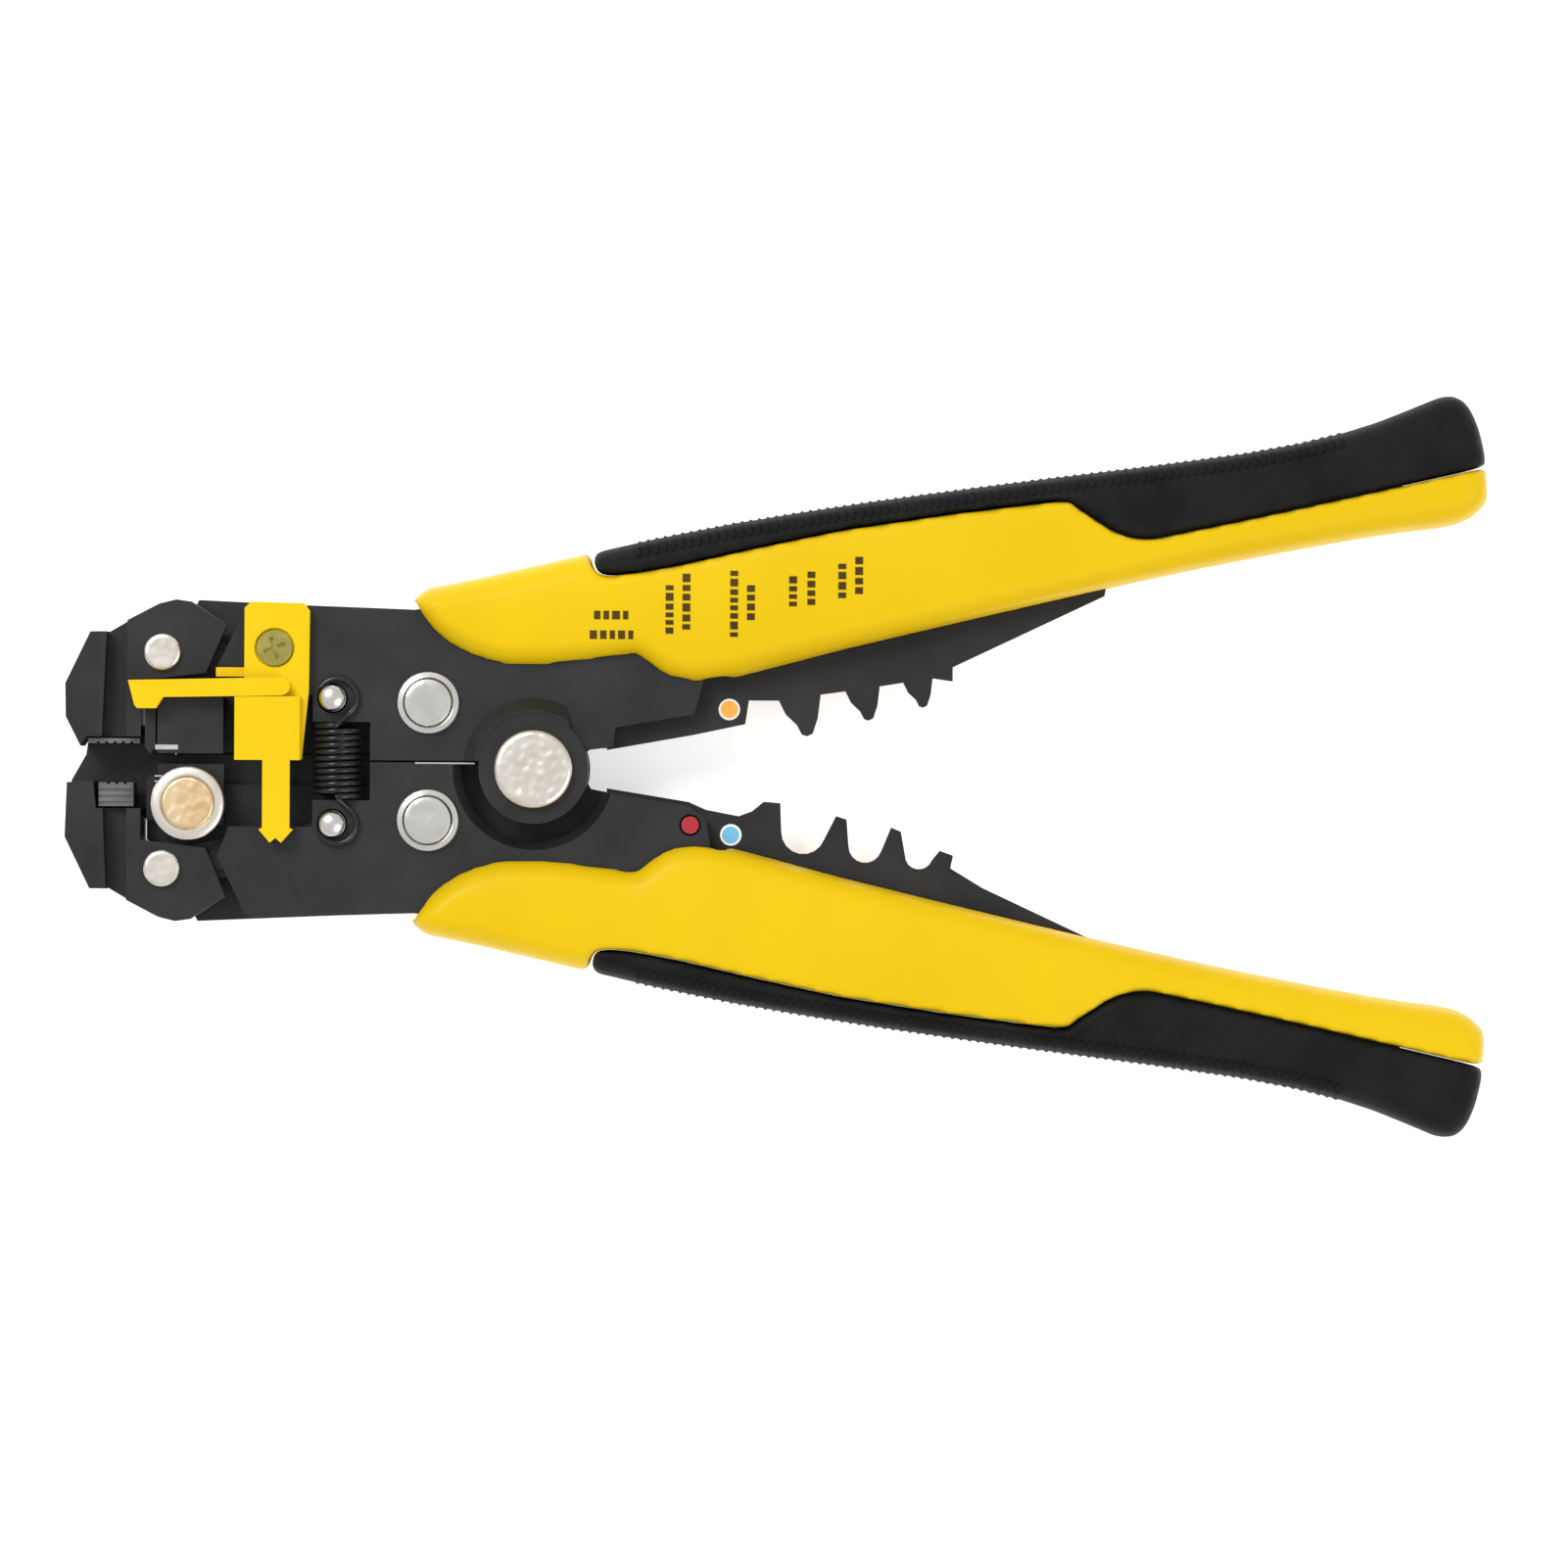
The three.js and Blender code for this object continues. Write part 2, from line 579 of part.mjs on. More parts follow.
// A nose block with a cheek that reaches back over the nose bar.
function noseJaw(side) {
  const outline = [...JAW_OUTLINE, ...MOUTH_EDGE[side]];
  const block = slab(fromSplit(side, outline), [side === LOWER ? FLAP_Z[0] : JAW_Z[0], JAW_Z[1]]);
  const barRoom = box(side, [-56.1, -40], [0, 24], [FLAP_Z[0] - 1, CHEEK_Z[0]]);
  const groove = slab(fromSplit(side, GROOVE), [GROOVE_FLOOR, JAW_Z[1] + 1]);
  const jaw = cutAll(block, [
    barRoom, groove, noseFacet(side), disc(splitPoint(side, NOSE_PIVOT), NOSE_SHANK_R + GAP, grow(CHEEK_Z)),
  ]);
  return side === LOWER ? jaw.add(slab(fromSplit(side, FLAP), FLAP_Z)) : jaw;
}

// The nose block's front face slopes down towards the tip.
function noseFacet(side) {
  const wedge = new THREE.BoxGeometry(14, 40, 8);
  wedge.translate(-7, 0, 4);
  wedge.rotateY(THREE.MathUtils.degToRad(-FACET.slope));
  wedge.translate(FACET.x, AXIS_Y + side * 12, JAW_Z[1]);
  return toSolid(wedge);
}

// A hard pad with cross grooves in its gripping face, and a line between each of its leaves.
function grippingPad(side) {
  const { from, to, x } = PAD[side];
  const pad = box(side, x, [from, to], PAD_Z);
  const grooves = [];
  for (let at = x[0] + 1.2; at < x[1] - 0.6; at += 1.2) {
    grooves.push(box(side, [at, at + 0.45], [from - 0.1, from + 0.25], grow(PAD_Z)));
  }
  for (let at = from + 0.9; at < to - 0.5; at += 0.9) {
    grooves.push(box(side, grow(x), [at, at + 0.4], [PAD_Z[1] - 0.5, PAD_Z[1] + 1]));
  }
  return cutAll(pad, grooves);
}

function noseRivet(side) {
  const top = CHEEK_Z[1];
  return turned(splitPoint(side, NOSE_PIVOT), [
    [0, BAR_Z[0]], [NOSE_SHANK_R, BAR_Z[0]], [NOSE_SHANK_R, top + 0.3], [NOSE_RIVET_R, top + 0.3],
    [NOSE_RIVET_R, top + 0.8], [NOSE_RIVET_R - 0.3, top + 1.1], [0, top + 1.1],
  ]);
}

// ---- Wire stop ----------------------------------------------------------------------------------

function wireStop() {
  const plate = slab(fromSplit(UPPER, [
    [-41.3, 0.2], [-33.1, 0.2], [-32.1, 10], [-32, 21.4], [-32.8, 22.5], [-40.4, 22.7], [-41.3, 21.8],
  ]), STOP_Z);
  const block = box(UPPER, [-42.6, -33.3], [0.1, 9.2], [STOP_Z[0], PRONG_Z[1]]);
  const flange = box(UPPER, [-45.4, -41.1], [12, 13.3], [STOP_Z[0], STOP_Z[0] + 0.9]);
  const reach = slab(fromSplit(UPPER, [
    ...arc([-36, 10.6], 1.3, -90, 90, 6), [-57.8, 11.4], [-56.9, 7.9], [-56.5, 7.4], [-53.8, 7.4], [-52.8, 9],
  ]), STOP_ARM_Z);
  const prong = slab(fromSplit(UPPER, [
    [-38.6, 1], [-38.6, -9.6], [-39.1, -9.8], [-37.5, -11.7], [-36.7, -11], [-35.9, -11.7], [-34.2, -9.8],
    [-34.7, -9.6], [-34.7, 1],
  ]), PRONG_Z);
  const whole = joinAll([plate, block, flange, reach, prong]);
  const countersink = turned(splitPoint(UPPER, STOP_SCREW), [
    [0, 13], [1.35, 13], [1.35, 14.9], [2.9, 16.3], [2.9, 17], [0, 17],
  ], 28);
  return whole.subtract(countersink);
}

function stopScrew() {
  const head = turned(splitPoint(UPPER, STOP_SCREW), [
    [0, 12.3], [1, 12.3], [1, 15], [2.55, 16.3], [2.55, 16.5], [0, 16.5],
  ], 28);
  const [x, y] = splitPoint(UPPER, STOP_SCREW);
  const cross = [20, 110].map((degrees) => {
    const bar = new THREE.BoxGeometry(3.2, 0.6, 1.4);
    bar.rotateZ(THREE.MathUtils.degToRad(degrees));
    bar.translate(x, y, 16.6);
    return toSolid(bar);
  });
  return cutAll(head, cross);
}

// ---- Assembly -----------------------------------------------------------------------------------

for (const side of [LOWER, UPPER]) {
  const name = sideName(side);
  place(`${name}_front_plate`, frontPlate(side), blackSteel);
  place(`${name}_back_plate`, backPlate(side), blackSteel);
  place(`${name}_crimp_plate`, crimpPlate(side), darkSteel);
  place(`${name}_grip`, grip(side), yellowPlastic);
  place(`${name}_grip_overmould`, overmould(side), blackRubber);
  for (const [where, at] of SPACERS) place(`${name}_${where}_spacer`, spacer(side, at), darkSteel);
  place(`${name}_arm_rivet`, armRivet(side), brightSteel);
  place(`${name}_spring_pin`, springPin(side), brightSteel);
  place(`${name}_arm`, arm(side), darkSteel);
  place(`${name}_blade_carrier`, carrierBase(side), darkSteel);
  place(`${name}_carrier_cover`, carrierCover(side), blackSteel);
  place(`${name}_blade`, blade(side), brightSteel);
  place(`${name}_guide_pin`, guidePin(side), brightSteel);
  place(`${name}_nose_bar`, noseBar(side), darkSteel);
  place(`${name}_nose_rivet`, noseRivet(side), brightSteel);
  place(`${name}_nose_jaw`, noseJaw(side), blackSteel);
  place(`${name}_gripping_pad`, grippingPad(side), brightSteel);
}
place('main_rivet', mainRivet(), brightSteel);
place('pivot_bush', pivotBush(), brightSteel);
place('return_spring', returnSpring(), darkSteel);
place('tension_knob', tensionKnob(), brightSteel);
place('knob_insert', knobInsert(), brass);
place('wire_stop', wireStop(), yellowPlastic);
place('wire_stop_screw', stopScrew(), brass);
place('orange_size_dot', sizeDot(ORANGE_DOT, CRIMP_Z[1]), finish('#e8a33a', 0.4, 0));
place('red_size_dot', sizeDot(RED_DOT, FRONT_Z[1]), finish('#a8252c', 0.4, 0));
place('blue_size_dot', sizeDot(BLUE_DOT, CRIMP_Z[1]), finish('#5fb6e0', 0.4, 0));

export default wireStripper;
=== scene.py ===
import json
import math
import random

import bpy
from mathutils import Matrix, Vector, noise
from mathutils.bvhtree import BVHTree


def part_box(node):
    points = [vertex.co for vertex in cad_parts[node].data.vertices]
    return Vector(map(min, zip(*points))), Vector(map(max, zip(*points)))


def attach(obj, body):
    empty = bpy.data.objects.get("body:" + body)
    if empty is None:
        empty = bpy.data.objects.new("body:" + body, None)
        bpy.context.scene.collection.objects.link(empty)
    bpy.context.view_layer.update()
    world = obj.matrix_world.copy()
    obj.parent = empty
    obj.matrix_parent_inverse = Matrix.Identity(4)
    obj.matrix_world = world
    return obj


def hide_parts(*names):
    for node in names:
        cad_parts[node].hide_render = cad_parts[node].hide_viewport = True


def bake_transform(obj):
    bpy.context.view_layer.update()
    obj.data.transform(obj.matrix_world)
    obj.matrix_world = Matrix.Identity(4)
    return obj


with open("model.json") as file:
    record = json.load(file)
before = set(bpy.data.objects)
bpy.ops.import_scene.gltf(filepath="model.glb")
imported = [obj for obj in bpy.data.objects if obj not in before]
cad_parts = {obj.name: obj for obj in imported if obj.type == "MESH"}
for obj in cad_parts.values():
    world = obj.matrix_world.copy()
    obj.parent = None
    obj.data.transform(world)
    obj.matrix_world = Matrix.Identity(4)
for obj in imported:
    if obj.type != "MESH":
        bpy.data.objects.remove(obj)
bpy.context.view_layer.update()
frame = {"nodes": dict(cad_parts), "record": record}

# The visual model of a wire stripper, in metres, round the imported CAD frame.
MM = 0.001
SIDES = {"lower": -1, "upper": 1}
NODES = frame["nodes"]


def centre(node):
    lo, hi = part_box(node)
    return (lo + hi) / 2


def top(node):
    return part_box(node)[1].z


def radius(node):
    lo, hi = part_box(node)
    return (hi.x - lo.x) / 2


PIVOT = centre("main_rivet")
SPLIT_Y = (centre("upper_arm_rivet").y + centre("lower_arm_rivet").y) / 2
PLATE_TOP = top("lower_front_plate")


# ---- Materials ---------------------------------------------------------------------------------

class Shader:
    """A Principled material whose colour, roughness and bump come from procedural textures."""

    def __init__(self, name, colour, roughness, metallic=0.0, specular=0.5):
        self.material = bpy.data.materials.new(name)
        self.material.use_nodes = True
        self.nodes = self.material.node_tree.nodes
        self.links = self.material.node_tree.links
        self.surface = self.nodes["Principled BSDF"]
        self.surface.inputs["Metallic"].default_value = metallic
        self.surface.inputs["Specular IOR Level"].default_value = specular
        self.colour = colour
        self.roughness = roughness
        self.place = self.nodes.new("ShaderNodeTexCoord").outputs["Object"]
        self.normal = None

    def texture(self, scale, detail=3.0, stretch=(1, 1, 1)):
        mapping = self.nodes.new("ShaderNodeMapping")
        mapping.inputs["Scale"].default_value = stretch
        self.links.new(self.place, mapping.inputs["Vector"])
        node = self.nodes.new("ShaderNodeTexNoise")
        node.inputs["Scale"].default_value = scale
        node.inputs["Detail"].default_value = detail
        self.links.new(mapping.outputs["Vector"], node.inputs["Vector"])
        return node.outputs["Fac"]

    def cells(self, scale):
        node = self.nodes.new("ShaderNodeTexVoronoi")
        node.inputs["Scale"].default_value = scale
        self.links.new(self.place, node.inputs["Vector"])
        return node.outputs["Distance"]

    def vary_colour(self, factor, second, low=0.35, high=0.7):
        ramp = self.nodes.new("ShaderNodeValToRGB")
        ramp.color_ramp.elements[0].position = low
        ramp.color_ramp.elements[1].position = high
        ramp.color_ramp.elements[0].color = (*self.colour, 1)
        ramp.color_ramp.elements[1].color = (*second, 1)
        self.links.new(factor, ramp.inputs["Fac"])
        self.links.new(ramp.outputs["Color"], self.surface.inputs["Base Color"])
        return self

    def vary_roughness(self, factor, spread):
        reach = self.nodes.new("ShaderNodeMapRange")
        reach.inputs["To Min"].default_value = self.roughness - spread
        reach.inputs["To Max"].default_value = self.roughness + spread
        self.links.new(factor, reach.inputs["Value"])
        self.links.new(reach.outputs["Result"], self.surface.inputs["Roughness"])
        return self

    def bump(self, height, strength, distance):
        node = self.nodes.new("ShaderNodeBump")
        node.inputs["Strength"].default_value = strength
        node.inputs["Distance"].default_value = distance
        self.links.new(height, node.inputs["Height"])
        if self.normal is not None:
            self.links.new(self.normal, node.inputs["Normal"])
        self.normal = node.outputs["Normal"]
        self.links.new(self.normal, self.surface.inputs["Normal"])
        return self


def painted_steel(name, colour, second, roughness, grain=0.25):
    s = Shader(name, colour, roughness, metallic=0.35, specular=0.5)
    s.vary_colour(s.texture(90, 4), second)
    s.vary_roughness(s.texture(260, 5), 0.1)
    s.bump(s.texture(2600, 2), grain, 0.04 * MM)
    return s.bump(s.texture(300, 3), 0.15, 0.06 * MM).material


def bare_metal(name, colour, second, roughness, grain=0.2, stretch=(1, 1, 1)):
    s = Shader(name, colour, roughness, metallic=1.0)
    s.vary_colour(s.texture(240, 4), second)
    s.vary_roughness(s.texture(500, 4, stretch), 0.08)
    return s.bump(s.texture(1800, 3, stretch), grain, 0.03 * MM).material


def moulded_plastic(name, colour, second, roughness, grain=0.2):
    s = Shader(name, colour, roughness, specular=0.14)
    s.vary_colour(s.texture(40, 3), second)
    s.vary_roughness(s.texture(420, 4), 0.06)
    s.bump(s.cells(2400), grain, 0.03 * MM)
    return s.bump(s.texture(90, 2), 0.1, 0.12 * MM).material


def rubber(name, colour, second):
    s = Shader(name, colour, 0.62, specular=0.12)
    s.vary_colour(s.texture(120, 4), second)
    s.vary_roughness(s.texture(900, 3), 0.1)
    return s.bump(s.texture(3200, 2), 0.4, 0.05 * MM).material


LOOKS = {
    "black_steel": painted_steel("black_steel", (0.015, 0.015, 0.016), (0.027, 0.027, 0.029), 0.4),
    "tool_steel": painted_steel("tool_steel", (0.01, 0.01, 0.011), (0.022, 0.021, 0.022), 0.46, 0.35),
    "bright_rivet": bare_metal("bright_rivet", (0.74, 0.73, 0.69), (0.82, 0.81, 0.78), 0.24),
    "nickel_rivet": bare_metal("nickel_rivet", (0.78, 0.73, 0.65), (0.86, 0.82, 0.75), 0.34, 0.5),
    # Gripping pad steel, kept dark to paint the shade that lies over most of the pads.
    "pad_steel": bare_metal("pad_steel", (0.13, 0.13, 0.135), (0.24, 0.24, 0.245), 0.36, 0.4),
    "blade_steel": bare_metal("blade_steel", (0.62, 0.62, 0.62), (0.78, 0.78, 0.77), 0.3, 0.4, (1, 12, 1)),
    "spring_steel": painted_steel("spring_steel", (0.012, 0.012, 0.013), (0.03, 0.03, 0.03), 0.2, 0.1),
    "brass": bare_metal("brass", (0.8, 0.56, 0.3), (0.9, 0.72, 0.46), 0.36, 0.6),
    "screw_brass": bare_metal("screw_brass", (0.3, 0.26, 0.06), (0.5, 0.43, 0.13), 0.38, 0.4),
    "yellow_grip": moulded_plastic("yellow_grip", (0.72, 0.475, 0.002), (0.76, 0.51, 0.003), 0.4),
    "yellow_stop": moulded_plastic("yellow_stop", (0.76, 0.51, 0.004), (0.8, 0.55, 0.006), 0.34),
    "black_overmould": rubber("black_overmould", (0.005, 0.005, 0.005), (0.011, 0.011, 0.011)),
    "orange_mark": moulded_plastic("orange_mark", (0.85, 0.36, 0.05), (0.92, 0.46, 0.1), 0.35),
    "red_mark": moulded_plastic("red_mark", (0.32, 0.02, 0.03), (0.42, 0.04, 0.05), 0.35),
    "blue_mark": moulded_plastic("blue_mark", (0.13, 0.46, 0.74), (0.2, 0.55, 0.82), 0.35),
}
PRINT = moulded_plastic("dark_print", (0.05, 0.03, 0.004), (0.09, 0.05, 0.006), 0.5)
SLOT_OF = {row["node"]: row["material_slot"] for row in frame["record"]["subparts"]}


# ---- Mesh helpers ------------------------------------------------------------------------------

def add_mesh(name, points, faces, look, body, smooth_angle=35):
    mesh = bpy.data.meshes.new(name)
    mesh.from_pydata([tuple(p) for p in points], [], faces)
    mesh.validate()
    return add_object(name, mesh, look, body, smooth_angle)


def add_object(name, mesh, look, body, smooth_angle=35):
    for face in mesh.polygons:
        face.use_smooth = True
    mesh.set_sharp_from_angle(angle=math.radians(smooth_angle))
    mesh.materials.clear()
    mesh.materials.append(LOOKS.get(look, PRINT))
    piece = bpy.data.objects.new(name, mesh)
    bpy.context.scene.collection.objects.link(piece)
    if body:
        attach(piece, body)
    return piece


RELIEF_DEPTH = 0.3 * MM
RELIEF_SCALE = 900


def lathe(name, at, profile, look, body, segments=96, relief=0.0):
    """A turned piece from (radius, z) points, which start and end on the axis. Relief pits its top face."""
    rings = profile[1:-1]
    points = [Vector((at[0], at[1], profile[0][1]))]
    for r, z in rings:
        for i in range(segments):
            a = 2 * math.pi * i / segments
            points.append(Vector((at[0] + r * math.cos(a), at[1] + r * math.sin(a), z)))
    points.append(Vector((at[0], at[1], profile[-1][1])))
    faces = []
    for i in range(segments):
        j = (i + 1) % segments
        faces.append((0, 1 + j, 1 + i))
        for k in range(len(rings) - 1):
            a, b = 1 + k * segments, 1 + (k + 1) * segments
            faces.append((a + i, a + j, b + j, b + i))
        last = 1 + (len(rings) - 1) * segments
        faces.append((last + i, last + j, len(points) - 1))
    if relief:
        peak = max(z for _, z in profile)
        for p in points:
            if p.z > peak - RELIEF_DEPTH:
                p.z -= relief * (0.5 + 0.5 * noise.noise(Vector((p.x, p.y, 0)) * RELIEF_SCALE))
    return add_mesh(name, points, faces, look, body)


def dome(radius, low, high, steps=8):
    """Profile points of a shallow dome's rim and crown, from the edge to the axis."""
    points = []
    for i in range(steps + 1):
        a = math.pi / 2 * i / steps
        points.append((radius * math.cos(a), low + (high - low) * math.sin(a)))
    return points[:-1] + [(0, high)]


def flat_rings(radius, z, steps=8):
    """Rings over a flat face, so that its relief has points to move."""
    return [(radius * (1 - i / steps), z) for i in range(steps)] + [(0, z)]


def tube(path, radius, sides=8):
    """Points and faces of a closed round tube along a path."""
    points, faces = [], []
    side = Vector((0, 0, 1))
    for i, p in enumerate(path):
        ahead = path[min(i + 1, len(path) - 1)] - path[max(i - 1, 0)]
        ahead.normalize()
        side = side - ahead * side.dot(ahead)
        if side.length < 1e-6:
            side = ahead.orthogonal()
        side.normalize()
        across = ahead.cross(side)
        for k in range(sides):
            a = 2 * math.pi * k / sides
            points.append(p + radius * (math.cos(a) * side + math.sin(a) * across))
    for i in range(len(path) - 1):
        for k in range(sides):
            m = (k + 1) % sides
            a, b = i * sides, (i + 1) * sides
            faces.append((a + k, a + m, b + m, b + k))
    end = (len(path) - 1) * sides
    faces.append(tuple(reversed(range(sides))))
    faces.append(tuple(range(end, end + sides)))
    return points, faces


def merge_shapes(shapes):
    points, faces = [], []
    for more_points, more_faces in shapes:
        start = len(points)
        points.extend(more_points)
        faces.extend(tuple(start + i for i in face) for face in more_faces)
    return points, faces


# ---- CAD nodes that stay: bevelled edges and their own material ----------------------------------

EDGE_WEAR = 0.16 * MM


def dress_cad_nodes():
    for name, node in NODES.items():
        node.data.materials.clear()
        node.data.materials.append(LOOKS[SLOT_OF[name]])
        edge = node.modifiers.new("worn_edges", "BEVEL")
        edge.width = EDGE_WEAR
        edge.segments = 2
        edge.limit_method = "ANGLE"
        edge.angle_limit = math.radians(38)


# ---- Grips -------------------------------------------------------------------------------------

GRIP_VOXEL = 0.75 * MM
GRIP_SMOOTHING = 7
CROWN = 0.13  # how far the faces come down at the edges, as a share of half the thickness
SLICE = 2 * MM


def remeshed(name, node):
    """The CAD solid with its hard edges melted into moulded rounds, as a mesh of even faces."""
    piece = bpy.data.objects.new(name + "_blank", NODES[node].data.copy())
    bpy.context.scene.collection.objects.link(piece)
    remesh = piece.modifiers.new("even", "REMESH")
    remesh.mode = "VOXEL"
    remesh.voxel_size = GRIP_VOXEL
    soften = piece.modifiers.new("soften", "SMOOTH")
    soften.factor = 0.5
    soften.iterations = GRIP_SMOOTHING
    bpy.context.view_layer.update()
    made = bpy.data.meshes.new_from_object(piece.evaluated_get(bpy.context.evaluated_depsgraph_get()))
    bpy.data.objects.remove(piece)
    made.name = name
    return made


class GripProfile:
    """The two long edges of one handle, read off its own points in slices along X."""

    def __init__(self, meshes, side):
        self.side = side
        self.slices = {}
        for mesh in meshes:
            for v in mesh.vertices:
                key = round(v.co.x / SLICE)
                lo, hi = self.slices.get(key, (v.co.y, v.co.y))
                self.slices[key] = (min(lo, v.co.y), max(hi, v.co.y))

    def edges(self, x):
        at = x / SLICE
        a = self.slices.get(math.floor(at))
        b = self.slices.get(math.floor(at) + 1)
        a, b = a or b, b or a
        t = at - math.floor(at)
        return a[0] + (b[0] - a[0]) * t, a[1] + (b[1] - a[1]) * t

    def outer(self, x):
        return self.edges(x)[1 if self.side > 0 else 0]


def crown(mesh, profile, mid_z):
    """The faces curve down from the middle of the handle towards both edges."""
    for v in mesh.vertices:
        lo, hi = profile.edges(v.co.x)
        across = (v.co.y - (lo + hi) / 2) / max((hi - lo) / 2, MM)
        v.co.z = mid_z + (v.co.z - mid_z) * (1 - CROWN * min(1, across * across))


RIB_PITCH = 1.22 * MM
RIB_RADIUS = 0.3 * MM
RIB_REACH = (15 * MM, 117 * MM)  # the first and last rib, from the pivot
RIB_SINK = 0.08 * MM
RAY_DEPTH = 1.7 * MM
RAY_STEP = 1.05 * MM
RAYS_EACH_WAY = 6
RIB_BEND = (0.35 * MM, 0.45 * MM)  # how far the rib stands off the shoulder, outwards and up


def rib_paths(mesh, profile, mid_z):
    """Short arches over the handle's outer edge, laid on the overmould by casting rays from inside it."""
    tree = BVHTree.FromPolygons([v.co for v in mesh.vertices], [tuple(p.vertices) for p in mesh.polygons])
    first, last = PIVOT.x + RIB_REACH[0], PIVOT.x + RIB_REACH[1]
    outwards = Vector((0, profile.side, 0))
    paths = []
    for i in range(int((last - first) / RIB_PITCH)):
        x = first + i * RIB_PITCH
        inside = Vector((x, profile.outer(x) - profile.side * RAY_DEPTH, mid_z))
        path = []
        for step in range(-RAYS_EACH_WAY, RAYS_EACH_WAY + 1):
            hit = tree.ray_cast(inside + Vector((0, 0, step * RAY_STEP)), outwards)[0]
            if hit is not None:
                path.append(hit - outwards * RIB_SINK)
        if len(path) > 3:
            over = path[-1] + Vector((0, -profile.side * 1.6 * MM, 5 * MM))
            hit = tree.ray_cast(over, Vector((0, 0, -1)))[0]
            if hit is not None:
                bend = Vector((0, profile.side * RIB_BEND[0], RIB_BEND[1]))
                path.append((path[-1] + hit) / 2 + bend)
                path.append(hit + Vector((0, 0, 0.02 * MM)))
            paths.append(path)
    return paths


def build_grips():
    for name, side in SIDES.items():
        body = f"{name}_frame"
        yellow = remeshed(f"{name}_grip_shell", f"{name}_grip")
        black = remeshed(f"{name}_overmould_shell", f"{name}_grip_overmould")
        profile = GripProfile([yellow, black], side)
        mid_z = centre(f"{name}_grip").z
        for mesh in (yellow, black):
            crown(mesh, profile, mid_z)
        shell = add_object(f"{name}_grip_shell", yellow, "yellow_grip", body, 60)
        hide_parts(f"{name}_grip")
        cover = add_object(f"{name}_overmould_shell", black, "black_overmould", body, 60)
        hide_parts(f"{name}_grip_overmould")
        ribs = merge_shapes([tube(p, RIB_RADIUS, 6) for p in rib_paths(black, profile, mid_z)])
        add_mesh(f"{name}_overmould_ribs", *ribs, "black_overmould", body, 60)


# ---- Printed size guide: plain bars that stand for the lines of print -----------------------------

# Each row or column starts at (x, y) and is so long, in mm.
PRINT_ROWS = [(8.6, 21.4, 6.0), (8.0, 18.6, 7.4)]
PRINT_COLUMNS = [
    (18.8, 19.4, 7.8), (21.2, 20.0, 8.2), (28.0, 19.0, 10.4), (30.4, 21.4, 5.8), (36.4, 23.4, 5.2),
    (39.0, 23.6, 5.6), (43.4, 24.6, 5.8), (45.8, 25.2, 5.2),
]


PRINT_LIFT = 0.08 * MM
PRINT_SINK = 0.32 * MM
ROW_HEIGHT = 1.2
COLUMN_WIDTH = 1.105


def printed_bars():
    """Thin dashes of uneven length on the upper grip's face."""
    dice = random.Random(7)
    grip = bpy.data.objects["upper_grip_shell"].data
    tree = BVHTree.FromPolygons([v.co for v in grip.vertices], [tuple(p.vertices) for p in grip.polygons])
    shapes = []

    def bar(x, y, wide, tall):
        corners = []
        for dx, dy in ((0, 0), (wide, 0), (wide, tall), (0, tall)):
            hit = tree.ray_cast(Vector((x + dx, y + dy, 0.05)), Vector((0, 0, -1)))[0]
            if hit is None:
                return
            corners.append(hit)
        points = [p - Vector((0, 0, PRINT_SINK)) for p in corners]
        points += [p + Vector((0, 0, PRINT_LIFT)) for p in corners]
        faces = [(3, 2, 1, 0), (4, 5, 6, 7)]
        faces += [(i, (i + 1) % 4, 4 + (i + 1) % 4, 4 + i) for i in range(4)]
        shapes.append((points, faces))

    for x, y, length in PRINT_ROWS:
        at = 0.0
        while at < length - 0.8:
            dash = dice.uniform(0.7, 1.3)
            bar((x + at) * MM, y * MM, dash * MM, ROW_HEIGHT * MM)
            at += dash + 0.45
    for x, y, length in PRINT_COLUMNS:
        at = 0.0
        while at < length - 0.6:
            dash = dice.uniform(0.6, 1.2)
            bar(x * MM, (y + at) * MM, COLUMN_WIDTH * MM, dash * MM)
            at += dash + 0.42
    add_mesh("size_guide_print", *merge_shapes(shapes), "dark_print", "upper_frame", 30)


# ---- Turned pieces -------------------------------------------------------------------------------

def raised(base, points):
    """Profile points in metres, from radii and heights over base in mm."""
    return [(r * MM, base + z * MM) for r, z in points]


def foot(node):
    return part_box(node)[0].z


def build_rivets():
    """Each rivet, pin and knob follows its CAD node's place and height, with finer rims and faces."""
    main_rivet()
    for name in SIDES:
        arm_rivet(name)
        nose_rivet(name)
        spring_pin(name)
    knob()


def main_rivet():
    face = top("main_rivet")
    under_head = top("upper_front_plate") + 0.25 * MM
    over_foot = 1.9 * MM
    head_r = radius("main_rivet")
    shank_r = 3.6 * MM
    profile = [
        (0, 0), (head_r - 0.3 * MM, 0), (head_r, 0.3 * MM), (head_r, over_foot), (shank_r, over_foot),
        (shank_r, under_head), (head_r, under_head), (head_r, face - 0.6 * MM),
        (head_r - 0.15 * MM, face - 0.25 * MM), (head_r - 0.5 * MM, face - 0.03 * MM),
    ]
    profile += flat_rings(head_r - 0.75 * MM, face, 22)
    rivet = lathe("main_rivet_turned", PIVOT, profile, "nickel_rivet", "lower_frame", relief=0.16 * MM)
    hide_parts("main_rivet")


def arm_rivet(name):
    node = f"{name}_arm_rivet"
    profile = raised(foot(node), [(0, 0), (4, 0), (4, 1.1), (2.6, 1.1)])
    profile += raised(PLATE_TOP, [(2.6, 0.15), (4.45, 0.15), (4.5, 0.5), (4.35, 0.75), (3.7, 0.85)])
    profile += raised(top(node), [(3.55, -0.45), (3.3, -0.12), (2.9, -0.03)])
    profile += flat_rings(2.5 * MM, top(node), 8)
    rivet = lathe(f"{node}_turned", centre(node), profile, "bright_rivet", f"{name}_frame", relief=0.05 * MM)
    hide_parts(node)


